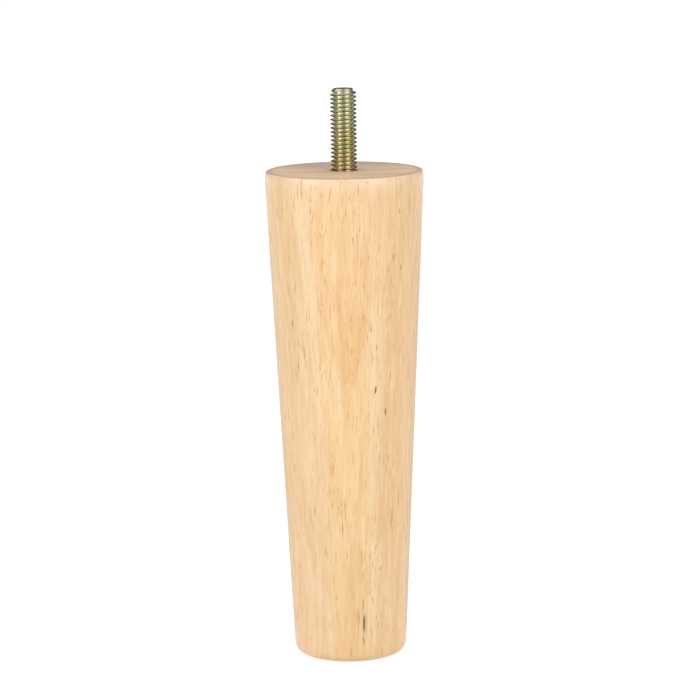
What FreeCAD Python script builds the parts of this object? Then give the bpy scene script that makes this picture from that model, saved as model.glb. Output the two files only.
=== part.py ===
import FreeCAD, Part
import os
import Sketcher
from FreeCAD import Vector

# Tapered wooden furniture leg, turned in one piece, with a hanger bolt driven into its top
# Lengths are in millimetres and angles in degrees
# The origin is the middle of the foot on the floor, and the axis of the leg runs up along +Z

SIZES = (
    ("leg_height", 150.0, "floor to the face that meets the furniture"),
    ("top_diameter", 48.5, "top of the taper, before its edge is eased"),
    ("foot_diameter", 34.3, "bottom of the taper, before its edge is rounded"),
    ("top_bevel", 0.6, "small bevel sanded round the top face"),
    ("foot_round", 3.0, "rounded edge round the foot"),
    ("stud_diameter", 8.0, "machine thread of the bolt, over its crests"),
    ("stud_reach", 24.8, "machine thread that stands out of the wood"),
    ("stud_chamfer", 1.1, "bevel on the end of the machine thread"),
    ("neck_diameter", 7.1, "plain neck between the two threads"),
    ("neck_length", 5.0, "top face down to the end of the neck"),
    ("core_diameter", 5.6, "core of the wood thread"),
    ("thread_depth", 1.0, "wood thread, core to crest"),
    ("thread_pitch", 3.6, "wood thread, from turn to turn"),
    ("thread_relief", 1.0, "bare core between the neck and the wood thread"),
    ("thread_length", 12.2, "wood thread at its full depth"),
    ("crest_width", 0.35, "flat on the crest of the wood thread"),
    ("flank_angle", 60.0, "between the two flanks of the wood thread"),
    ("point_length", 7.0, "tapered point of the bolt"),
    ("point_flat", 0.8, "blunt end of the point"),
    ("bore_beyond_point", 3.0, "pilot bore that runs on below the point"),
    ("drill_angle", 118.0, "cone that the drill leaves at the bottom of the bore"),
    ("bore_clearance", 0.05, "room in the wood round the core and the wood thread"),
    ("mouth_clearance", 0.4, "room round the stud where the bore's mouth is countersunk"),
)

# Heights on the axis, from the top face down
TOP_FACE = "Sizes.leg_height"
SHOULDER = "(Sizes.leg_height - Sizes.neck_length)"
THREAD_TOP = f"({SHOULDER} - Sizes.thread_relief)"
POINT_START = f"({THREAD_TOP} - Sizes.thread_length)"
POINT_END = f"({POINT_START} - Sizes.point_length)"
BORE_END = f"({POINT_END} - Sizes.bore_beyond_point)"
STUD_END = "(Sizes.leg_height + Sizes.stud_reach)"

# Radii of the bolt
STUD = "(Sizes.stud_diameter / 2)"
NECK = "(Sizes.neck_diameter / 2)"
CORE = "(Sizes.core_diameter / 2)"
CREST = f"({CORE} + Sizes.thread_depth)"
POINT = "(Sizes.point_flat / 2)"

# Room left round the wood thread: none on the bolt itself, a little in the wood
ON_THE_BOLT = "0"
IN_THE_WOOD = "Sizes.bore_clearance"

# How far a cutting outline reaches past the solid that it cuts
OVERSHOOT = 1.0

# How far the flanks of the wood thread run on below the surface of the core
SUNK = 0.3


def make_sizes(document):
    """The sheet of driving dimensions, one named cell for each."""
    sheet = document.addObject("Spreadsheet::Sheet", "Sizes")
    for row, (name, value, meaning) in enumerate(SIZES, start=1):
        sheet.set(f"A{row}", name)
        sheet.set(f"B{row}", str(value))
        sheet.set(f"C{row}", meaning)
        sheet.setAlias(f"B{row}", name)
    document.recompute()
    return sheet


def origin_plane(body, role):
    """One of the body's own origin planes."""
    planes = [feature for feature in body.Origin.OriginFeatures if feature.Role == role]
    return planes[0]


def draw_half_section(body, name, corners):
    """A closed outline beside the axis; each corner is (name, radius, height), None for zero."""
    sketch = body.newObject("Sketcher::SketchObject", name)
    sketch.AttachmentSupport = [(origin_plane(body, "XZ_Plane"), "")]
    sketch.MapMode = "FlatFace"
    rough = [Vector(index + 1, index * index + 1, 0) for index in range(len(corners))]
    for index, start in enumerate(rough):
        sketch.addGeometry(Part.LineSegment(start, rough[(index + 1) % len(rough)]))
    for index in range(len(corners)):
        following = (index + 1) % len(corners)
        sketch.addConstraint(Sketcher.Constraint("Coincident", index, 2, following, 1))
    for index, (corner, radius, height) in enumerate(corners):
        place_on_axis(sketch, index, "DistanceX", -2, corner + "_radius", radius)
        place_on_axis(sketch, index, "DistanceY", -1, corner + "_height", height)
    return sketch


def place_on_axis(sketch, line, kind, axis, name, formula):
    """Hold a line's start at a distance from the origin, or on the axis where there is none."""
    if formula is None:
        sketch.addConstraint(Sketcher.Constraint("PointOnObject", line, 1, axis))
        return
    number = sketch.addConstraint(Sketcher.Constraint(kind, -1, 1, line, 1, 1.0))
    sketch.renameConstraint(number, name)
    sketch.setExpression(f"Constraints.{name}", formula)


def turn(body, kind, name, section):
    """Revolve a half section once round the axis, adding to the body or cutting it."""
    feature = body.newObject(kind, name)
    feature.Profile = section
    feature.ReferenceAxis = (section, ["V_Axis"])
    feature.Angle = 360.0
    body.Document.recompute()
    return feature


def ease_edge(body, kind, name, base, height, size, formula):
    """Round or bevel the circular edge of a turned body that lies at one height."""
    edges = []
    for number, edge in enumerate(base.Shape.Edges, start=1):
        box = edge.BoundBox
        if box.ZLength < 1e-6 and abs(box.ZMin - height) < 1e-6:
            edges.append(f"Edge{number}")
    feature = body.newObject(kind, name)
    feature.Base = (base, edges)
    feature.setExpression(size, formula)
    body.Document.recompute()
    return feature


def add_wood_thread(body, room):
    """Wind the ridge of the wood thread round the core, and taper it to the point."""
    half_crest = f"(Sizes.crest_width / 2 + {room})"
    half_root = f"({half_crest} + (Sizes.thread_depth + {SUNK}) * tan(Sizes.flank_angle / 2))"
    start = f"({POINT_END} + {half_root} - {room})"
    end = f"({THREAD_TOP} - {half_root} + 2 * {room})"
    crest = f"({CREST} + {room})"
    root = f"({CORE} + {room} - {SUNK})"
    ridge = draw_half_section(body, "ridge_section", (
        ("inner_low", f"{POINT} / 2", f"{start} - {half_root}"),
        ("root_low", root, f"{start} - {half_root}"),
        ("crest_low", crest, f"{start} - {half_crest}"),
        ("crest_high", crest, f"{start} + {half_crest}"),
        ("root_high", root, f"{start} + {half_root}"),
        ("inner_high", f"{POINT} / 2", f"{start} + {half_root}"),
    ))
    helix = body.newObject("PartDesign::AdditiveHelix", "wood_thread")
    helix.Profile = ridge
    helix.ReferenceAxis = (ridge, ["V_Axis"])
    helix.Mode = "pitch-height-angle"
    helix.setExpression("Pitch", "Sizes.thread_pitch")
    helix.setExpression("Height", f"{end} - {start}")
    body.Document.recompute()
    slope = f"(Sizes.point_length / ({CREST} - {POINT}))"
    outside = f"({crest} + {OVERSHOOT})"
    waste = draw_half_section(body, "point_waste", (
        ("point", f"{POINT} + {room}", POINT_END),
        ("below_point", f"{POINT} + {room}", f"{POINT_END} - {OVERSHOOT}"),
        ("below_outside", outside, f"{POINT_END} - {OVERSHOOT}"),
        ("above_outside", outside, f"{POINT_START} + {OVERSHOOT} * {slope}"),
    ))
    return turn(body, "PartDesign::Groove", "tapered_point", waste)


def make_hanger_bolt(document):
    """Steel bolt: machine thread above the wood, plain neck, wood thread with a tapered point."""
    body = document.addObject("PartDesign::Body", "hanger_bolt")
    section = draw_half_section(body, "bolt_section", (
        ("point_middle", None, POINT_END),
        ("point_rim", POINT, POINT_END),
        ("point_top", CORE, POINT_START),
        ("core_top", CORE, SHOULDER),
        ("neck_bottom", NECK, f"{SHOULDER} + {NECK} - {CORE}"),
        ("neck_top", NECK, f"{TOP_FACE} - {STUD} + {NECK}"),
        ("stud_bottom", STUD, TOP_FACE),
        ("stud_top", STUD, f"{STUD_END} - Sizes.stud_chamfer"),
        ("stud_rim", f"{STUD} - Sizes.stud_chamfer", STUD_END),
        ("stud_middle", None, STUD_END),
    ))
    turn(body, "PartDesign::Revolution", "bolt_blank", section)
    add_wood_thread(body, ON_THE_BOLT)
    return body


def make_bolt_cavity(document):
    """What drill, countersink and screw thread take out of the wood."""
    body = document.addObject("PartDesign::Body", "bolt_cavity")
    core = draw_half_section(body, "core_section", (
        ("point_middle", None, POINT_END),
        ("point_rim", POINT, POINT_END),
        ("point_top", CORE, POINT_START),
        ("core_top", CORE, SHOULDER),
        ("core_middle", None, SHOULDER),
    ))
    turn(body, "PartDesign::Revolution", "driven_core", core)
    add_wood_thread(body, IN_THE_WOOD)
    bore = f"({CORE} + Sizes.bore_clearance)"
    mouth = f"({STUD} + Sizes.mouth_clearance)"
    section = draw_half_section(body, "bore_section", (
        ("drill_tip", None, f"{BORE_END} - {bore} / tan(Sizes.drill_angle / 2)"),
        ("bore_bottom", bore, BORE_END),
        ("bore_top", bore, SHOULDER),
        ("neck_bottom", NECK, f"{SHOULDER} + {NECK} - {bore}"),
        ("neck_top", NECK, f"{TOP_FACE} - {mouth} + {NECK}"),
        ("mouth", mouth, TOP_FACE),
        ("above_mouth", mouth, f"{TOP_FACE} + {OVERSHOOT}"),
        ("above_middle", None, f"{TOP_FACE} + {OVERSHOOT}"),
    ))
    turn(body, "PartDesign::Revolution", "bored_hole", section)
    return body


def make_leg(document, sizes):
    """Turned leg: straight taper, eased top edge, rounded foot, blind bore for the bolt."""
    blank = document.addObject("PartDesign::Body", "turned_blank")
    section = draw_half_section(blank, "taper_section", (
        ("foot_middle", None, None),
        ("foot_edge", "Sizes.foot_diameter / 2", None),
        ("top_edge", "Sizes.top_diameter / 2", TOP_FACE),
        ("top_middle", None, TOP_FACE),
    ))
    taper = turn(blank, "PartDesign::Revolution", "straight_taper", section)
    foot = ease_edge(
        blank, "PartDesign::Fillet", "rounded_foot", taper, 0.0, "Radius", "Sizes.foot_round")
    ease_edge(
        blank, "PartDesign::Chamfer", "bevelled_top", foot, sizes.leg_height, "Size", "Sizes.top_bevel")
    leg = document.addObject("Part::Cut", "leg")
    leg.Base = blank
    leg.Tool = make_bolt_cavity(document)
    document.recompute()
    return leg


def check_and_write(document, pieces):
    """Stop on a failed object or a broken solid, then write each piece to its own file."""
    for item in document.Objects:
        if "Invalid" in item.State or "Error" in item.State:
            raise RuntimeError(f"{item.Label} failed: {item.State}")
    for piece in pieces:
        shape = piece.Shape
        if shape.isNull() or not shape.isValid() or len(shape.Solids) != 1:
            raise RuntimeError(f"{piece.Label} is not one sound solid")
    os.makedirs("parts", exist_ok=True)
    for piece in pieces:
        piece.Shape.exportStep(f"parts/{piece.Label}.step")
        print(piece.Label, "volume", round(piece.Shape.Volume, 2), "mm3")


def main():
    document = FreeCAD.newDocument("tapered_furniture_leg")
    sizes = make_sizes(document)
    leg = make_leg(document, sizes)
    bolt = make_hanger_bolt(document)
    leg.Label = "leg"
    bolt.Label = "hanger_bolt"
    document.recompute()
    check_and_write(document, (leg, bolt))


main()
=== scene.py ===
"""A tapered wooden furniture leg with a hanger bolt, dressed for its picture.

Lengths are metres in the frame's own axes: the leg stands on z = 0 and its axis is +Z.
"""

import math

import bmesh
import bpy
from mathutils import Matrix, Vector


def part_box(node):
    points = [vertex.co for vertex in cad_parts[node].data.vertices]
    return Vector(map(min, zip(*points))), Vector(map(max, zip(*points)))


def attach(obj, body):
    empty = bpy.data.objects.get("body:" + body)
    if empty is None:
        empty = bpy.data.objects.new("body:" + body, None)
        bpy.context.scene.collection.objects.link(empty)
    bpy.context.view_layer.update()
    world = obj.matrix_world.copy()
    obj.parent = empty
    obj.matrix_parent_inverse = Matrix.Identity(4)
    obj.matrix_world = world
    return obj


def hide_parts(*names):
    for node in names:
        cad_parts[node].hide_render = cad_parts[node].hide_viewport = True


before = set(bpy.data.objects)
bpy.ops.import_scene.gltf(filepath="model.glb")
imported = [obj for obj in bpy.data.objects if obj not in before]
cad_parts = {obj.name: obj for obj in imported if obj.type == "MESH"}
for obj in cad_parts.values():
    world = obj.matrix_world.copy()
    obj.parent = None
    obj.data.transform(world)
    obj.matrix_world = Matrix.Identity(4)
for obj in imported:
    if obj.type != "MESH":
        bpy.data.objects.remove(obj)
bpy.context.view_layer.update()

MM = 0.001
UP = Vector((0.0, 0.0, 1.0))
ORIGIN = Vector((0.0, 0.0, 0.0))
WELD = 0.001 * MM

# Leg
LEG_HEIGHT = 150.0 * MM
TOP_RADIUS = 24.25 * MM
FOOT_RADIUS = 17.15 * MM
FOOT_ROUND = 3.0 * MM
RIM_ROUND = 0.5 * MM
RIM_EASING = 12.0 * MM
EASING_TURN = math.radians(14.0)
FOOT_STEPS = 14
EASING_STEPS = 8
RIM_STEPS = 6
MOUTH_RADIUS = 4.4 * MM
MOUTH_DEPTH = 0.85 * MM
NECK_BORE = 3.57 * MM
NECK_BORE_END = LEG_HEIGHT - 4.28 * MM
PILOT_END = 121.8 * MM
DRILL_TIP = 120.1 * MM
LEG_SEGMENTS = 192
LEG_SHARP = math.radians(30.0)

# Hanger bolt
BOLT_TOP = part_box("hanger_bolt")[1].z
STUD_RADIUS = 4.0 * MM
STUD_ROOT = 2.95 * MM
STUD_PITCH = 1.25 * MM
STUD_CREST = 0.26 * MM
STUD_GROOVE = 0.2 * MM
STUD_ROLLING = 0.1 * MM
LEFT_CREST = 169.1 * MM
TIP_RADIUS = 2.85 * MM
STUD_END = LEG_HEIGHT - 0.45 * MM
NECK_RADIUS = 3.55 * MM
NECK_TOP = LEG_HEIGHT - 0.9 * MM
SHOULDER_TOP = LEG_HEIGHT - 4.25 * MM
SHOULDER_END = LEG_HEIGHT - 5.0 * MM
SCREW_RADIUS = 3.8 * MM
SCREW_CORE = 2.8 * MM
SCREW_PITCH = 3.6 * MM
SCREW_CREST = 0.35 * MM
SCREW_ROLLING = 0.08 * MM
CORE_TOP = LEG_HEIGHT - 5.2 * MM
SCREW_TOP = LEG_HEIGHT - 5.4 * MM
SCREW_ROOM = 0.05 * MM
POINT_START = 131.8 * MM
POINT_END = 124.8 * MM
POINT_RADIUS = 0.4 * MM
HALF_FLANK_ANGLE = math.radians(30.0)
ROLLED_STEPS = 4
BOLT_SEGMENTS = 72
BOLT_SHARP = math.radians(35.0)

# Camera, fitted to the photograph's outline
CAMERA_PLACE = Vector((0.0, -0.8794, 0.2516))
CAMERA_TILT = math.radians(10.125)
CAMERA_TURN = math.radians(-0.066)
CAMERA_ROLL = math.radians(-0.82)
PICTURE_SIZE = 700.0
FOCAL_PIXELS = 2914.7
SENSOR_WIDTH = 36.0
NEAR_LIMIT = 0.05
FAR_LIMIT = 20.0


# Camera

def make_camera():
    """Sets the camera where the photograph was taken from."""
    camera = bpy.data.cameras.new("camera")
    camera.sensor_width = SENSOR_WIDTH
    camera.lens = FOCAL_PIXELS / PICTURE_SIZE * camera.sensor_width
    camera.clip_start = NEAR_LIMIT
    camera.clip_end = FAR_LIMIT
    stand = bpy.data.objects.new("camera", camera)
    bpy.context.collection.objects.link(stand)
    turn = Matrix.Rotation(CAMERA_TURN, 4, "Z")
    tilt = Matrix.Rotation(math.radians(90.0) - CAMERA_TILT, 4, "X")
    roll = Matrix.Rotation(CAMERA_ROLL, 4, "Z")
    stand.matrix_world = Matrix.Translation(CAMERA_PLACE) @ turn @ tilt @ roll
    bpy.context.scene.camera = stand


# Turning and threading

def start_wire(bm, radius, height):
    """Sets the first point of a half-section."""
    return bmesh.ops.create_vert(bm, co=(radius, 0.0, height))["vert"][0]


def line_to(bm, tip, radius, height):
    """Draws a straight edge of the half-section from the wire's tip."""
    tip = bmesh.ops.extrude_vert_indiv(bm, verts=[tip])["verts"][0]
    tip.co = (radius, 0.0, height)
    return tip


def arc_about(bm, tip, radius, height, angle, steps):
    """Draws an arc of the half-section about a centre.

    A positive angle turns from -Z out to +X and up.
    """
    made = bmesh.ops.spin(
        bm, geom=[tip], cent=(radius, 0.0, height), axis=(0.0, -1.0, 0.0),
        dvec=ORIGIN, angle=angle, steps=steps, use_duplicate=False,
    )
    return next(v for v in made["geom_last"] if isinstance(v, bmesh.types.BMVert))


def turn_wire(bm, segments):
    """Spins the half-section once round the axis and closes its seam and poles."""
    bmesh.ops.spin(
        bm, geom=bm.verts[:] + bm.edges[:], cent=ORIGIN, axis=UP, dvec=ORIGIN,
        angle=math.tau, steps=segments, use_merge=True,
    )
    bmesh.ops.remove_doubles(bm, verts=bm.verts[:], dist=WELD)


def thread_tube(low, high, pitch, core, crest, crest_width, root_width, crest_height, rolling):
    """Makes an open tube with a right-hand thread that reaches past both heights.

    One wire of ridges climbs by a pitch while it turns once, so each ridge runs into the next.
    Thread rolling leaves the corners of the thread round.
    """
    bm = bmesh.new()
    flank = (pitch - crest_width - root_width) / 2.0
    first = crest_height - math.ceil((crest_height - low) / pitch + 1.5) * pitch
    turns = math.ceil((high - first) / pitch) + 1
    tip = start_wire(bm, core, first - crest_width / 2.0 - flank)
    for turn in range(turns):
        middle = first + turn * pitch
        tip = line_to(bm, tip, crest, middle - crest_width / 2.0)
        tip = line_to(bm, tip, crest, middle + crest_width / 2.0)
        tip = line_to(bm, tip, core, middle + crest_width / 2.0 + flank)
        tip = line_to(bm, tip, core, middle + crest_width / 2.0 + flank + root_width)
    corners = [vert for vert in bm.verts if len(vert.link_edges) == 2]
    bmesh.ops.bevel(
        bm, geom=corners, offset=rolling, segments=ROLLED_STEPS, profile=0.5, affect="VERTICES"
    )
    bmesh.ops.spin(
        bm, geom=bm.verts[:] + bm.edges[:], cent=ORIGIN, axis=UP, dvec=UP * (pitch / BOLT_SEGMENTS),
        angle=math.tau, steps=BOLT_SEGMENTS, use_duplicate=False,
    )
    bmesh.ops.remove_doubles(bm, verts=bm.verts[:], dist=WELD)
    return bm


def cut_level(bm, height, keep_above):
    """Cuts a tube at a height, keeps the part above or below, and gives the edges of the cut."""
    cut = bmesh.ops.bisect_plane(
        bm, geom=bm.verts[:] + bm.edges[:] + bm.faces[:], dist=WELD, plane_co=UP * height,
        plane_no=UP, clear_inner=keep_above, clear_outer=not keep_above,
    )
    return [part for part in cut["geom_cut"] if isinstance(part, bmesh.types.BMEdge)]


def trim_radius(bm, limit):
    """Turns a threaded tube down to the radius that limit gives at each height."""
    for vert in bm.verts:
        radius = math.hypot(vert.co.x, vert.co.y)
        allowed = limit(vert.co.z)
        if radius > allowed:
            vert.co.x *= allowed / radius
            vert.co.y *= allowed / radius


def screw_blank(height):
    """Outer radius of the wood thread: it runs out under the shoulder and tapers to the point."""
    spread = (SCREW_RADIUS - POINT_RADIUS) / (POINT_START - POINT_END)
    at_point = POINT_RADIUS + (height - POINT_END) * spread
    at_top = SCREW_CORE + max(0.0, SCREW_TOP - height)
    return min(SCREW_RADIUS, at_point, at_top)


def wood_thread(low, room):
    """Makes the wood thread from a height up to the bare core, and gives the loop at its foot.

    Without room it is the bolt's own thread, and with room the groove that it cuts in the wood.
    """
    flanks = 2.0 * (SCREW_RADIUS - SCREW_CORE) * math.tan(HALF_FLANK_ANGLE)
    crest_width = SCREW_CREST + 2.0 * room
    bm = thread_tube(
        low, CORE_TOP, SCREW_PITCH, SCREW_CORE + room, SCREW_RADIUS + room, crest_width,
        SCREW_PITCH - crest_width - flanks, SCREW_TOP - SCREW_PITCH, SCREW_ROLLING,
    )
    cut_level(bm, CORE_TOP, False)
    return bm, cut_level(bm, low, True)


def draw_down(bm, loop, radius, height):
    """Extrudes an open loop to a circle at another height."""
    made = bmesh.ops.extrude_edge_only(bm, edges=loop)["geom"]
    for vert in (part for part in made if isinstance(part, bmesh.types.BMVert)):
        spoke = Vector((vert.co.x, vert.co.y)).normalized() * radius
        vert.co = (spoke.x, spoke.y, height)
    return [
        part for part in made
        if isinstance(part, bmesh.types.BMEdge)
        and all(abs(vert.co.z - height) < WELD for vert in part.verts)
    ]


def join_half(bm, half):
    """Takes a piece's other half into its mesh and closes the gap between their open rims."""
    mesh = bpy.data.meshes.new("half")
    half.to_mesh(mesh)
    half.free()
    bm.from_mesh(mesh)
    bpy.data.meshes.remove(mesh)
    bmesh.ops.bridge_loops(bm, edges=[edge for edge in bm.edges if edge.is_boundary])


def make_object(bm, name, material):
    """Makes an object with its material from a mesh."""
    mesh = bpy.data.meshes.new(name)
    bm.to_mesh(mesh)
    bm.free()
    mesh.materials.append(material)
    made = bpy.data.objects.new(name, mesh)
    bpy.context.collection.objects.link(made)
    return made


def finish_piece(bm, name, sharp_angle, material):
    """Turns the faces outwards, keeps the sharp edges sharp and hands the piece over."""
    bmesh.ops.dissolve_degenerate(bm, edges=bm.edges[:], dist=WELD)
    bmesh.ops.recalc_face_normals(bm, faces=bm.faces[:])
    for face in bm.faces:
        face.smooth = True
    for edge in bm.edges:
        edge.smooth = edge.calc_face_angle(0.0) < sharp_angle
    piece = make_object(bm, name, material)
    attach(piece, "root")
    return piece


# Leg

def make_bore():
    """Makes the pilot bore down to its drilled tip, with the groove that the wood thread cuts."""
    bm, bottom = wood_thread(PILOT_END, SCREW_ROOM)
    trim_radius(bm, lambda height: max(SCREW_CORE, screw_blank(height)) + SCREW_ROOM)
    draw_down(bm, bottom, 0.0, DRILL_TIP)
    bmesh.ops.remove_doubles(bm, verts=bm.verts[:], dist=WELD)
    return bm


def make_leg(material):
    """Turns the leg with its round foot edge, straight taper and sanded rim, and bores it."""
    bm = bmesh.new()
    slope = (TOP_RADIUS - FOOT_RADIUS) / LEG_HEIGHT
    lean = math.atan(slope)
    foot_centre = FOOT_RADIUS + slope * FOOT_ROUND - FOOT_ROUND / math.cos(lean)

    rim_angle = EASING_TURN - lean
    rim_height = LEG_HEIGHT - RIM_ROUND
    easing_height = rim_height - (RIM_EASING - RIM_ROUND) * math.sin(rim_angle)
    easing_start = easing_height - RIM_EASING * math.sin(lean)
    taper_end = FOOT_RADIUS + slope * easing_start
    easing_centre = taper_end - RIM_EASING * math.cos(lean)
    rim_centre = easing_centre + (RIM_EASING - RIM_ROUND) * math.cos(rim_angle)

    tip = start_wire(bm, 0.0, 0.0)
    tip = line_to(bm, tip, foot_centre, 0.0)
    tip = arc_about(bm, tip, foot_centre, FOOT_ROUND, math.radians(90.0) - lean, FOOT_STEPS)
    tip = line_to(bm, tip, taper_end, easing_start)
    tip = arc_about(bm, tip, easing_centre, easing_height, EASING_TURN, EASING_STEPS)
    tip = arc_about(bm, tip, rim_centre, rim_height, math.radians(90.0) - rim_angle, RIM_STEPS)
    tip = line_to(bm, tip, MOUTH_RADIUS, LEG_HEIGHT)
    tip = line_to(bm, tip, NECK_BORE, LEG_HEIGHT - MOUTH_DEPTH)
    tip = line_to(bm, tip, NECK_BORE, NECK_BORE_END)
    line_to(bm, tip, SCREW_CORE + SCREW_ROOM, SHOULDER_END)
    turn_wire(bm, LEG_SEGMENTS)
    join_half(bm, make_bore())
    piece = finish_piece(bm, "turned_leg", LEG_SHARP, material)
    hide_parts("leg")


# Hanger bolt

def stud_blank(height):
    """Outer radius of the machine thread: bevelled at its end and turned down to the neck."""
    return min(TIP_RADIUS + BOLT_TOP - height, NECK_RADIUS + height - STUD_END)


def make_stud():
    """Makes the machine thread and gives the open loop at its foot."""
    bm = thread_tube(
        STUD_END, BOLT_TOP, STUD_PITCH, STUD_ROOT, STUD_RADIUS, STUD_CREST, STUD_GROOVE,
        LEFT_CREST - STUD_PITCH / 2.0, STUD_ROLLING,
    )
    end = cut_level(bm, BOLT_TOP - WELD, False)
    foot = cut_level(bm, STUD_END, True)
    trim_radius(bm, stud_blank)
    bmesh.ops.holes_fill(bm, edges=end, sides=0)
    return bm, foot


def make_screw():
    """Makes the wood thread with its blunt point, open at the top."""
    bm, point = wood_thread(POINT_END, 0.0)
    trim_radius(bm, screw_blank)
    bmesh.ops.holes_fill(bm, edges=point, sides=0)
    return bm


def make_bolt(material):
    """Makes the hanger bolt: machine thread, neck and shoulder, then the wood thread."""
    bm, foot = make_stud()
    neck = draw_down(bm, foot, NECK_RADIUS, NECK_TOP)
    shoulder = draw_down(bm, neck, NECK_RADIUS, SHOULDER_TOP)
    draw_down(bm, shoulder, SCREW_CORE, SHOULDER_END)
    join_half(bm, make_screw())
    piece = finish_piece(bm, "threaded_bolt", BOLT_SHARP, material)
    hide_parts("hanger_bolt")


# Materials: small helpers for their nodes

def new_material(name):
    """Starts a material without nodes."""
    material = bpy.data.materials.new(name)
    material.use_nodes = True
    material.node_tree.nodes.clear()
    return material, material.node_tree


def node(tree, kind, sockets=None, **settings):
    """Adds a node. Each socket takes a plain value or another node's output."""
    made = tree.nodes.new(kind)
    for name, value in settings.items():
        setattr(made, name, value)
    for name, value in (sockets or {}).items():
        if isinstance(value, bpy.types.NodeSocket):
            tree.links.new(value, made.inputs[name])
        else:
            made.inputs[name].default_value = value
    return made


def sum_up(tree, kind, first, second=0.0, third=0.0):
    """Works out one step of arithmetic."""
    return node(tree, "ShaderNodeMath", {0: first, 1: second, 2: third}, operation=kind).outputs[0]


def fade(tree, value, start, end, low=0.0, high=1.0):
    """Runs smoothly from low to high while value goes from start to end."""
    sockets = {"Value": value, "From Min": start, "From Max": end, "To Min": low, "To Max": high}
    return node(tree, "ShaderNodeMapRange", sockets, interpolation_type="SMOOTHSTEP").outputs[0]


def lay_over(tree, share, under, over):
    """Lays one colour over another by a share."""
    made = node(tree, "ShaderNodeMix", data_type="RGBA")
    for socket, value in ((0, share), (6, under), (7, over)):
        if isinstance(value, bpy.types.NodeSocket):
            tree.links.new(value, made.inputs[socket])
        else:
            made.inputs[socket].default_value = value
    return made.outputs[2]


def tint(tree, under, over, value, start, end, low, high):
    """Lays one colour over another by a share that follows a value, as in fade."""
    return lay_over(tree, fade(tree, value, start, end, low, high), under, over)


def from_axis(tree, place, axis=ORIGIN):
    """Distance of a place from the leg's own axis, or from another upright one."""
    level = node(tree, "ShaderNodeVectorMath", {0: place, 1: (1.0, 1.0, 0.0)}, operation="MULTIPLY")
    reach = node(tree, "ShaderNodeVectorMath", {0: level.outputs[0], 1: axis}, operation="DISTANCE")
    return reach.outputs["Value"]


def plain_noise(tree, place, size, detail):
    """Noise with flecks of about one size every way."""
    sockets = {"Vector": place, "Scale": 1.0 / size, "Detail": detail}
    return node(tree, "ShaderNodeTexNoise", sockets).outputs[0]


def hand_over(tree, shader):
    """Makes a shader the material's surface."""
    output = node(tree, "ShaderNodeOutputMaterial")
    tree.links.new(shader.outputs[0], output.inputs["Surface"])


def colour(red, green, blue):
    """A colour as it looks on screen, from 0 to 255, as Blender's own linear value."""

    def linear(level):
        share = level / 255.0
        return share / 12.92 if share <= 0.04045 else ((share + 0.055) / 1.055) ** 2.4

    return (linear(red), linear(green), linear(blue), 1.0)


# Wood

# The tree's pith lies behind the leg, so the layers of growth run across it.
PITH = Vector((3.2 * MM, 110.0 * MM, 0.0))
WANDER = 1.2 * MM
RIPPLE = 0.5 * MM
RING_SPACING = 1.3 * MM
YEAR_SPACING = 6.0 * MM
RING_LENGTH = 40.0 * MM
RING_HEIGHT = 150.0 * MM
MARK_CORE = 0.35
BAND_CORE = 0.15
# How far the edge of the right side's tan tone and painted shade wanders
TAN_AND_SHADE_WANDER = 12.0 * MM
GRAIN_RELIEF = 0.05 * MM
VESSEL_DEPTH = 0.6
END_FACING = (0.7, 0.99)
TOP_FACING = (0.0, 0.5)
SIDE_ROUGHNESS = 0.46
END_ROUGHNESS = 0.7
SIDE_COAT = 0.4
END_COAT = 0.2

STRAW = colour(251, 216, 163)
BLUSH = colour(247, 209, 166)
TAN = colour(240, 197, 146)
LIGHT_FIBRE = colour(253, 223, 180)
DARK_FIBRE = colour(232, 183, 130)
# Colour of the painted highlight just under the rim
RIM_HIGHLIGHT = colour(250, 229, 205)
END_GRAIN = colour(244, 209, 174)
END_RING = colour(249, 218, 184)
# Colour of the painted shade on the back of the top face
END_BACK_SHADE = colour(204, 176, 164)
END_DARK = colour(224, 184, 156)
END_RIM = colour(196, 164, 136)
VESSEL = colour(198, 129, 58)
DARK_MARK = colour(124, 64, 4)
# Colour of the painted highlight bands down the front
PAINTED_SHEEN = colour(250, 224, 194)

# Tones of the growth layers that the taper cuts across at the front: depth from the leg's axis in
# millimetres, then the layer's tone. The darker ones between 21 and 22.5 draw the flame.
LAYERS = (
    (14.0, colour(239, 202, 152)),
    (16.2, colour(235, 196, 142)),
    (19.2, colour(238, 199, 144)),
    (19.8, colour(244, 206, 150)),
    (21.1, colour(246, 208, 152)),
    (21.4, colour(239, 192, 131)),
    (21.85, colour(241, 197, 139)),
    (22.1, colour(239, 192, 133)),
    (22.9, colour(244, 204, 152)),
    (24.3, colour(247, 208, 157)),
)

# Flecks drawn out along the grain: width and length in millimetres, detail, roughness and offset
GRAIN = {
    "wander": (14.0, 50.0, 2.0, 0.5, (3.1, 0.4, 7.7)),
    "ripple": (2.5, 12.0, 2.0, 0.5, (8.2, 5.1, 1.3)),
    "patches": (5.0, 26.0, 2.0, 0.5, (6.1, 2.2, 0.9)),
    "bands": (2.1, 32.0, 1.0, 0.5, (7.3, 4.6, 2.8)),
    "streaks": (1.1, 11.0, 3.0, 0.6, (1.7, 9.3, 4.4)),
    "fibres": (0.6, 22.0, 1.0, 0.5, (5.7, 3.3, 2.4)),
    "pores": (0.3, 3.0, 2.0, 0.5, (2.0, 7.0, 1.0)),
    "fine vessels": (0.42, 4.4, 1.0, 0.5, (4.0, 2.5, 8.0)),
    "crowds of fine vessels": (5.0, 20.0, 1.0, 0.5, (4.0, 2.5, 8.0)),
    "long vessels": (0.65, 8.0, 1.0, 0.5, (9.0, 6.5, 3.0)),
    "crowds of long vessels": (7.0, 28.0, 1.0, 0.5, (9.0, 6.5, 3.0)),
}

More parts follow.
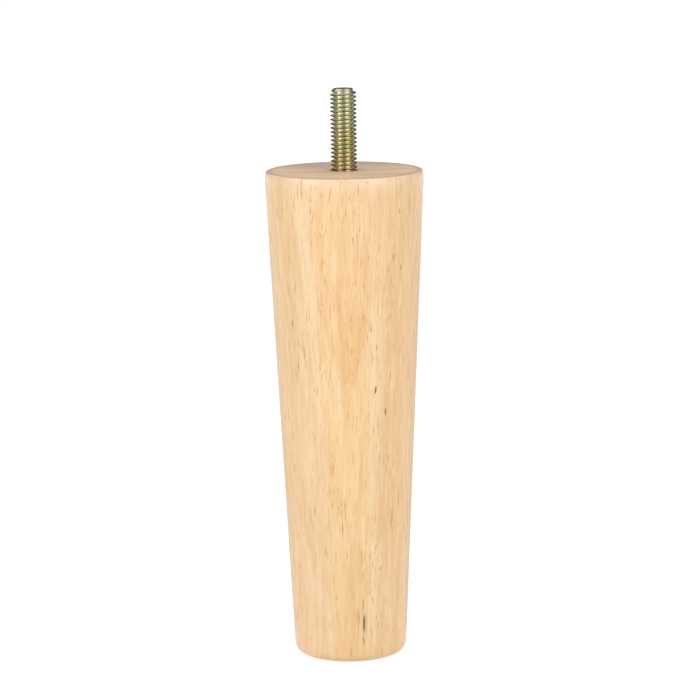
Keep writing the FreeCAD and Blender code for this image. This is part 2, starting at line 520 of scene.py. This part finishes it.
# Tints over the growth layers, broad ones and then fine ones, and those of the end grain: flecks
# and tone, then where a tint starts and ends in the flecks' strength and how much of it lies there
BROAD_TINTS = (
    ("patches", STRAW, 0.34, 0.5, 0.3, 0.0),
    ("patches", BLUSH, 0.5, 0.66, 0.0, 0.35),
    ("rings", TAN, 0.45, 0.68, 0.0, 0.28),
)
FINE_TINTS = (
    ("bands", DARK_FIBRE, 0.5, 0.68, 0.0, 0.3),
    ("bands", LIGHT_FIBRE, 0.34, 0.5, 0.25, 0.0),
    ("streaks", DARK_FIBRE, 0.52, 0.72, 0.0, 0.55),
    ("streaks", LIGHT_FIBRE, 0.30, 0.48, 0.45, 0.0),
    ("fibres", DARK_FIBRE, 0.5, 0.75, 0.0, 0.3),
)
END_TINTS = (
    ("rings", END_RING, 0.35, 0.65, 0.0, 0.5),
    ("years", END_DARK, 0.45, 0.62, 0.0, 0.65),
    ("years", END_RING, 0.38, 0.48, 0.4, 0.0),
    ("pores", VESSEL, 0.55, 0.7, 0.0, 0.35),
)

# Tints by place: where each one starts and ends, and how much of it lies there
# Right side: the wood's own tan tone, partly painted shade where less light falls
TAN_AND_SHADE_TINT = (14.0 * MM, 23.0 * MM, 0.0, 0.45)
# A painted highlight just under the rim, where the soft boxes reflect in the lacquer
RIM_HIGHLIGHT_TINT = (LEG_HEIGHT - 6.0 * MM, LEG_HEIGHT - 1.0 * MM, 0.0, 0.35)
# Painted shade: the back of the top face darker and greyer
END_BACK_SHADE_TINT = (0.0, 0.9 * TOP_RADIUS, 0.0, 0.7)
END_RIM_TINT = (TOP_RADIUS - 3.4 * MM, TOP_RADIUS - 0.9 * MM, 0.0, 0.6)

# Vessel lines: where they start and are full in their flecks' strength, and how dark they are
VESSELS = {
    "fine vessels": (0.60, 0.75, 0.58),
    "long vessels": (0.63, 0.77, 0.55),
}
CROWDING = (0.36, 0.60, 0.18, 1.0)

# Painted highlights: the soft boxes' broad sheen on the lacquer, painted as paler bands down the
# front.
# Painted highlight bands: place across the leg and half width in millimetres, lean and strength
PAINTED_SHEEN_BANDS = (
    (-8.6, 6.0, -0.026, 0.34),
    (6.6, 3.6, 0.0175, 0.27),
)


def grain_noise(tree, place, flecks):
    """Noise drawn out along the leg, as the table of grain says."""
    width, length, detail, roughness, offset = GRAIN[flecks]
    scale = (1.0 / (width * MM), 1.0 / (width * MM), 1.0 / (length * MM))
    stretched = node(
        tree, "ShaderNodeMapping", {"Vector": place, "Location": offset, "Scale": scale}
    ).outputs[0]
    sockets = {"Vector": stretched, "Scale": 1.0, "Detail": detail, "Roughness": roughness}
    return node(tree, "ShaderNodeTexNoise", sockets).outputs[0]


def growth_depth(tree, place):
    """Depth of a growth layer from the leg's axis to the front, wandering a little as rings do."""
    depth = from_axis(tree, place, PITH)
    depth = sum_up(tree, "MULTIPLY_ADD", grain_noise(tree, place, "wander"), WANDER, depth)
    depth = sum_up(tree, "MULTIPLY_ADD", grain_noise(tree, place, "ripple"), RIPPLE, depth)
    return sum_up(tree, "SUBTRACT", depth, PITH.length + (WANDER + RIPPLE) / 2.0)


def layer_tone(tree, depth):
    """The growth layers' tones, run together smoothly."""
    first = LAYERS[0][0] * MM
    last = LAYERS[-1][0] * MM
    share = node(
        tree, "ShaderNodeMapRange", {"Value": depth, "From Min": first, "From Max": last}
    ).outputs[0]
    ramp = node(tree, "ShaderNodeValToRGB", {0: share})
    stops = ramp.color_ramp.elements
    while len(stops) < len(LAYERS):
        stops.new(0.5)
    for stop, (layer_depth, tone) in zip(stops, LAYERS):
        stop.position = (layer_depth * MM - first) / (last - first)
        stop.color = tone
    return ramp.outputs[0]


def ring_noise(tree, depth, place, spacing):
    """Irregular growth rings: a noise that changes with depth and hardly at all along a ring."""
    x, _, z = node(tree, "ShaderNodeSeparateXYZ", {0: place}).outputs
    along_rings = node(
        tree, "ShaderNodeCombineXYZ",
        {
            0: sum_up(tree, "MULTIPLY", depth, 1.0 / spacing),
            1: sum_up(tree, "MULTIPLY", x, 1.0 / RING_LENGTH),
            2: sum_up(tree, "MULTIPLY", z, 1.0 / RING_HEIGHT),
        },
    )
    sockets = {"Vector": along_rings.outputs[0], "Scale": 1.0, "Detail": 3.0, "Roughness": 0.6}
    return node(tree, "ShaderNodeTexNoise", sockets).outputs[0]


def vessel_lines(tree, place, kind):
    """Short vessel lines along the leg, in loose crowds."""
    start, full, _ = VESSELS[kind]
    line = fade(tree, grain_noise(tree, place, kind), start, full)
    crowding = fade(tree, grain_noise(tree, place, "crowds of " + kind), *CROWDING)
    return sum_up(tree, "MULTIPLY", line, crowding)


def natural_mark(tree, place, under, x, z, length, width, tilt, strength):
    """A dark natural mark on the front of the leg, long and thin, fading at its ends."""
    surface = FOOT_RADIUS + (TOP_RADIUS - FOOT_RADIUS) * z / LEG_HEIGHT
    y = -math.sqrt(surface ** 2 - x ** 2)
    around = node(
        tree, "ShaderNodeMapping",
        {
            "Vector": place, "Location": (x, y, z), "Rotation": (0.0, tilt, 0.0),
            "Scale": (width / 2.0, width * 2.0, length / 2.0),
        },
        vector_type="TEXTURE",
    )
    reach = node(tree, "ShaderNodeVectorMath", {0: around.outputs[0]}, operation="LENGTH")
    return tint(tree, under, DARK_MARK, reach.outputs["Value"], MARK_CORE, 1.0, strength, 0.0)


def painted_sheen_band(tree, under, x, z, middle, half_width, lean, strength):
    """A painted highlight: a paler band that runs down the leg and leans with the taper."""
    from_lean = sum_up(tree, "MULTIPLY_ADD", z, -lean, x)
    distance = sum_up(tree, "ABSOLUTE", sum_up(tree, "SUBTRACT", from_lean, middle))
    core = BAND_CORE * half_width
    return tint(tree, under, PAINTED_SHEEN, distance, core, half_width, strength, 0.0)


# The clearest marks on the front: x, z, length and width in millimetres, tilt in degrees, strength
NATURAL_MARKS = (
    (3.93, 18.7, 6.4, 0.5, 1.0, 0.6),
    (4.05, 12.6, 8.2, 0.85, 1.0, 0.92),
    (4.5, 12.8, 8.4, 1.9, 0.0, 0.3),
    (3.95, 7.4, 6.0, 0.55, -3.0, 0.5),
    (8.5, 85.7, 3.4, 0.75, 8.0, 0.95),
    (11.43, 78.7, 3.0, 0.65, 3.0, 0.85),
    (7.35, 104.3, 2.8, 0.5, 0.0, 0.6),
    (9.0, 98.6, 2.4, 0.5, 4.0, 0.5),
    (-16.2, 105.6, 3.0, 0.6, 0.0, 0.55),
    (2.35, 131.8, 3.4, 0.45, 0.0, 0.5),
    (-4.3, 145.5, 7.5, 0.5, 12.0, 0.35),
    (4.1, 147.0, 5.0, 0.4, 0.0, 0.4),
    (-10.2, 140.5, 4.0, 0.4, 0.0, 0.45),
    (16.4, 139.5, 2.4, 0.5, 0.0, 0.5),
    (6.9, 126.5, 2.6, 0.4, 0.0, 0.45),
    (14.5, 125.7, 3.6, 0.45, 2.0, 0.6),
    (16.5, 122.4, 2.6, 0.45, 0.0, 0.55),
    (-14.6, 92.5, 5.0, 0.45, 0.0, 0.4),
    (13.1, 89.7, 4.4, 0.45, 0.0, 0.45),
    (-10.4, 48.0, 4.8, 0.5, 0.0, 0.5),
    (-2.05, 43.0, 4.6, 0.45, 0.0, 0.5),
    (9.2, 29.6, 2.4, 0.6, 0.0, 0.4),
)


def side_tone(tree, place, depth, flecks):
    """The tone of the wood on the leg's side, where the grain runs up it."""
    x, _, z = node(tree, "ShaderNodeSeparateXYZ", {0: place}).outputs
    tone = layer_tone(tree, depth)
    for kind, over, *run in BROAD_TINTS:
        tone = tint(tree, tone, over, flecks[kind], *run)
    # Towards the right side the wood turns tan: partly its own tone, partly painted shade where
    # less light falls
    tan_and_shade_edge = sum_up(tree, "MULTIPLY_ADD", flecks["patches"], TAN_AND_SHADE_WANDER, x)
    tone = tint(tree, tone, TAN, tan_and_shade_edge, *TAN_AND_SHADE_TINT)
    # Painted highlights where the soft boxes' broad sheen falls on the lacquer
    for middle, half_width, lean, strength in PAINTED_SHEEN_BANDS:
        tone = painted_sheen_band(tree, tone, x, z, middle * MM, half_width * MM, lean, strength)
    for kind, over, *run in FINE_TINTS:
        tone = tint(tree, tone, over, flecks[kind], *run)
    # Painted highlight just under the rim, where the soft boxes reflect in the lacquer
    tone = tint(tree, tone, RIM_HIGHLIGHT, z, *RIM_HIGHLIGHT_TINT)
    for kind, (_, _, strength) in VESSELS.items():
        tone = lay_over(tree, sum_up(tree, "MULTIPLY", flecks[kind], strength), tone, VESSEL)
    for across, height, length, width, tilt, strength in NATURAL_MARKS:
        tone = natural_mark(
            tree, place, tone, across * MM, height * MM, length * MM, width * MM,
            math.radians(tilt), strength,
        )
    return tone


def end_tone(tree, place, facing, flecks):
    """The tone of the end grain, with painted shade towards the back and darker round the top
    face's rim.
    """
    y = node(tree, "ShaderNodeSeparateXYZ", {0: place}).outputs[1]
    tone = END_GRAIN
    for kind, over, *run in END_TINTS:
        tone = tint(tree, tone, over, flecks[kind], *run)
    # Painted shade: the back of the top face darker and greyer
    tone = tint(tree, tone, END_BACK_SHADE, y, *END_BACK_SHADE_TINT)
    at_rim = fade(tree, from_axis(tree, place), *END_RIM_TINT)
    above = fade(tree, facing, *TOP_FACING)
    return lay_over(tree, sum_up(tree, "MULTIPLY", at_rim, above), tone, END_RIM)


def lacquered(tree, tone, end_grain, relief):
    """Wood with a fine relief under a clear satin coat, which has sunk into the end grain."""
    bump = node(
        tree, "ShaderNodeBump", {"Height": relief, "Distance": GRAIN_RELIEF, "Strength": 0.35}
    )
    return node(
        tree, "ShaderNodeBsdfPrincipled",
        {
            "Base Color": tone,
            "Roughness": fade(tree, end_grain, 0.0, 1.0, SIDE_ROUGHNESS, END_ROUGHNESS),
            "Normal": bump.outputs[0],
            "Specular IOR Level": 0.35,
            "Coat Weight": fade(tree, end_grain, 0.0, 1.0, SIDE_COAT, END_COAT),
            "Coat Roughness": 0.14,
            "Coat IOR": 1.5,
        },
    )


def make_wood():
    """Pale hardwood under a satin lacquer, duller on its end grain."""
    material, tree = new_material("satin lacquered hardwood")
    coordinates = node(tree, "ShaderNodeTexCoord")
    place = coordinates.outputs["Object"]
    facing = node(tree, "ShaderNodeSeparateXYZ", {0: coordinates.outputs["Normal"]}).outputs[2]
    end_grain = fade(tree, sum_up(tree, "ABSOLUTE", facing), *END_FACING)

    depth = growth_depth(tree, place)
    flecks = {
        "rings": ring_noise(tree, depth, place, RING_SPACING),
        "years": ring_noise(tree, depth, place, YEAR_SPACING),
    }
    for kind in ("patches", "bands", "streaks", "fibres", "pores"):
        flecks[kind] = grain_noise(tree, place, kind)
    for kind in VESSELS:
        flecks[kind] = vessel_lines(tree, place, kind)

    side = side_tone(tree, place, depth, flecks)
    end = end_tone(tree, place, facing, flecks)
    tone = lay_over(tree, end_grain, side, end)
    relief = sum_up(tree, "MULTIPLY_ADD", flecks["fine vessels"], -VESSEL_DEPTH, flecks["streaks"])
    hand_over(tree, lacquered(tree, tone, end_grain, relief))
    return material


# Metal

ZINC_PALE = colour(221, 221, 199)
ZINC_WARM = colour(222, 211, 175)
ZINC_OLIVE = colour(207, 208, 146)
ZINC_ROSE = colour(225, 206, 174)
# Colour of the painted shade on the crests and their down-facing flanks
ZINC_CREST_SHADE = colour(72, 60, 20)
SHEEN_SIZE = 5.0 * MM
CLOUD_SIZE = 1.6 * MM
POLISH_SIZE = 0.15 * MM
POLISH_RELIEF = 0.001 * MM
ZINC_ROUGHNESS = (0.3, 0.7, 0.27, 0.33)

# Where each tint starts and ends, and how much of it lies there
OLIVE_TINT = (0.4, 0.7, 0.0, 0.6)
ROSE_TINT = (0.52, 0.75, 0.0, 0.45)
# Painted shade on the machine thread's crests where they face down or sideways
CREST_SHADE_TINT = (STUD_RADIUS - 0.5 * MM, STUD_RADIUS - 0.12 * MM, 0.0, 0.9)
UNDERSIDE_SHADE_TINT = (-0.1, 0.8, 1.0, 0.0)


def make_zinc():
    """Yellow-passivated zinc, a little greener at the top, with painted shade on the crests where
    they face down.
    """
    material, tree = new_material("yellow passivated zinc")
    coordinates = node(tree, "ShaderNodeTexCoord")
    place = coordinates.outputs["Object"]
    facing = node(tree, "ShaderNodeSeparateXYZ", {0: coordinates.outputs["Normal"]}).outputs[2]
    height = node(tree, "ShaderNodeSeparateXYZ", {0: place}).outputs[2]
    sheen = plain_noise(tree, place, SHEEN_SIZE, 2.0)
    cloud = plain_noise(tree, place, CLOUD_SIZE, 3.0)
    polish = plain_noise(tree, place, POLISH_SIZE, 2.0)

    tone = lay_over(tree, fade(tree, height, LEG_HEIGHT, BOLT_TOP), ZINC_WARM, ZINC_PALE)
    tone = tint(tree, tone, ZINC_OLIVE, sheen, *OLIVE_TINT)
    tone = tint(tree, tone, ZINC_ROSE, cloud, *ROSE_TINT)
    # Painted shade: darker on the crests where they face down or sideways, in the machine thread
    # only
    at_crest = fade(tree, from_axis(tree, place), *CREST_SHADE_TINT)
    edge = sum_up(tree, "MULTIPLY", at_crest, fade(tree, facing, *UNDERSIDE_SHADE_TINT))
    in_thread = fade(tree, height, NECK_TOP, STUD_END)
    tone = lay_over(tree, sum_up(tree, "MULTIPLY", edge, in_thread), tone, ZINC_CREST_SHADE)

    bump = node(
        tree, "ShaderNodeBump", {"Height": polish, "Distance": POLISH_RELIEF, "Strength": 0.07}
    )
    shader = node(
        tree, "ShaderNodeBsdfPrincipled",
        {
            "Base Color": tone,
            "Metallic": 1.0,
            "Roughness": fade(tree, cloud, *ZINC_ROUGHNESS),
            "Normal": bump.outputs[0],
        },
    )
    hand_over(tree, shader)
    return material


# Studio

# What is seen of the floor is half lit paint and half a white glow, which keeps the shadow pale.
FLOOR_HALF = 6.0
FLOOR_SHARE = 0.5
FLOOR_WHITE = 1.5
FLOOR_PAINT = (0.84, 0.84, 0.84, 1.0)
FLOOR_GAP = 0.05 * MM
UNDER_FOOT = 4.0 * FLOOR_GAP

WHITE = (1.0, 1.0, 1.0, 1.0)
ROOM_LIGHT = 0.835
LEG_MIDDLE = Vector((0.0, 0.0, 0.09))
BOX_WIDTH = 0.55
BOX_LENGTH = 0.45
SCREEN_STEPS = 16
SCREEN_RADIUS = 0.9

# Profiles of the screens: points given by radius and height in metres
WALL = ((SCREEN_RADIUS, 0.0005), (SCREEN_RADIUS, 0.6))
OVERHEAD = ((0.03, 1.4),)
TOP_DISC = ((0.01, 1.3), (0.26, 1.3))
BACK_WALL = ((SCREEN_RADIUS, 0.12), (SCREEN_RADIUS, 0.6), (0.75, 0.96))
HIGH_BACK = ((0.75, 0.96), (0.45, 1.05))
BACK_FLOOR = ((0.02, 0.0005), (SCREEN_RADIUS, 0.0005))

# Soft boxes: name, place in metres and power in watts
SOFT_BOXES = (
    ("left_soft_box", Vector((-0.92, -0.76, 0.38)), 3.05),
    ("right_soft_box", Vector((0.85, -0.80, 0.38)), 2.4),
)

# Screens: name, first and last angle in degrees from the front to the right, shade and profile
SCREENS = (
    ("front_screen", -9.0, 17.5, 0.0, WALL + OVERHEAD),
    ("right_screen", 84.0, 128.0, 0.01, WALL),
    ("left_screen", 235.0, 296.0, 0.08, WALL),
    ("top_screen", 0.0, 360.0, 0.15, TOP_DISC),
    ("back_screen", 110.0, 250.0, 0.08, BACK_WALL),
    ("high_back_screen", 120.0, 162.0, 0.03, HIGH_BACK),
    ("back_floor_screen", 125.0, 235.0, 0.7, BACK_FLOOR),
)


def seen_as_white(tree):
    """1 for the rays that show the background: to the camera, and in metal, lacquer and glass."""
    ray = node(tree, "ShaderNodeLightPath")
    shown = sum_up(tree, "MAXIMUM", ray.outputs["Is Camera Ray"], ray.outputs["Is Glossy Ray"])
    return sum_up(tree, "MAXIMUM", shown, ray.outputs["Is Transmission Ray"])


def make_world():
    """A plain even room light that the camera, metal and lacquer see as white."""
    world = bpy.data.worlds.new("white room")
    world.use_nodes = True
    tree = world.node_tree
    tree.nodes.clear()
    seen = seen_as_white(tree)
    light = node(
        tree, "ShaderNodeBackground",
        {"Color": WHITE, "Strength": fade(tree, seen, 0.0, 1.0, ROOM_LIGHT, 1.0)},
    )
    output = node(tree, "ShaderNodeOutputWorld")
    tree.links.new(light.outputs[0], output.inputs[0])
    bpy.context.scene.world = world


def floor_white():
    """White paint that is clear from below and right under the foot, so light gets there."""
    material, tree = new_material("white floor")
    paint = node(tree, "ShaderNodeBsdfDiffuse", {"Color": FLOOR_PAINT})
    glow = node(tree, "ShaderNodeEmission", {"Color": WHITE, "Strength": FLOOR_WHITE})
    clear = node(tree, "ShaderNodeBsdfTransparent")
    seen = sum_up(tree, "MULTIPLY", seen_as_white(tree), FLOOR_SHARE)
    top = node(tree, "ShaderNodeMixShader", {0: seen, 1: paint.outputs[0], 2: glow.outputs[0]})
    below = node(tree, "ShaderNodeNewGeometry").outputs["Backfacing"]
    length = node(tree, "ShaderNodeLightPath").outputs["Ray Length"]
    under_foot = sum_up(tree, "LESS_THAN", length, UNDER_FOOT)
    side = sum_up(tree, "MAXIMUM", below, under_foot)
    both = node(tree, "ShaderNodeMixShader", {0: side, 1: top.outputs[0], 2: clear.outputs[0]})
    hand_over(tree, both)
    return material


def make_floor():
    """Lays the white floor, which keeps the leg's shadow."""
    bm = bmesh.new()
    bmesh.ops.create_grid(
        bm, x_segments=1, y_segments=1, size=FLOOR_HALF, matrix=Matrix.Translation(UP * -FLOOR_GAP)
    )
    floor = make_object(bm, "floor", floor_white())


def soft_box(name, place, power):
    """A large soft lamp that faces the leg."""
    lamp = bpy.data.lights.new(name, "AREA")
    lamp.shape = "RECTANGLE"
    lamp.size = BOX_WIDTH
    lamp.size_y = BOX_LENGTH
    lamp.energy = power
    stand = bpy.data.objects.new(name, lamp)
    bpy.context.collection.objects.link(stand)
    facing = (LEG_MIDDLE - place).to_track_quat("-Z", "Y").to_matrix().to_4x4()
    stand.matrix_world = Matrix.Translation(place) @ facing
    stand.visible_camera = False


def grey_screen(name, start, end, shade, profile):
    """A curved grey screen round part of the leg, which only shows as a reflection."""
    material, tree = new_material(name)
    hand_over(tree, node(tree, "ShaderNodeEmission", {"Color": (shade, shade, shade, 1.0)}))

    bm = bmesh.new()
    tip = start_wire(bm, *profile[0])
    for radius, height in profile[1:]:
        tip = line_to(bm, tip, radius, height)
    front = math.radians(start - 90.0)
    bmesh.ops.rotate(bm, verts=bm.verts[:], cent=ORIGIN, matrix=Matrix.Rotation(front, 3, "Z"))
    bmesh.ops.spin(
        bm, geom=bm.verts[:] + bm.edges[:], cent=ORIGIN, axis=UP, dvec=ORIGIN,
        angle=math.radians(end - start), steps=SCREEN_STEPS, use_duplicate=False,
    )
    screen = make_object(bm, name, material)
    screen.visible_camera = False
    screen.visible_diffuse = False
    screen.visible_transmission = False
    screen.visible_shadow = False


def make_studio():
    """Sets the white room, its floor, the lamps and the screens."""
    make_world()
    make_floor()
    for name, place, power in SOFT_BOXES:
        soft_box(name, place, power)
    for name, start, end, shade, profile in SCREENS:
        grey_screen(name, start, end, shade, profile)


# Making

bpy.context.scene.view_settings.view_transform = "Standard"
make_camera()
make_leg(make_wood())
make_bolt(make_zinc())
make_studio()
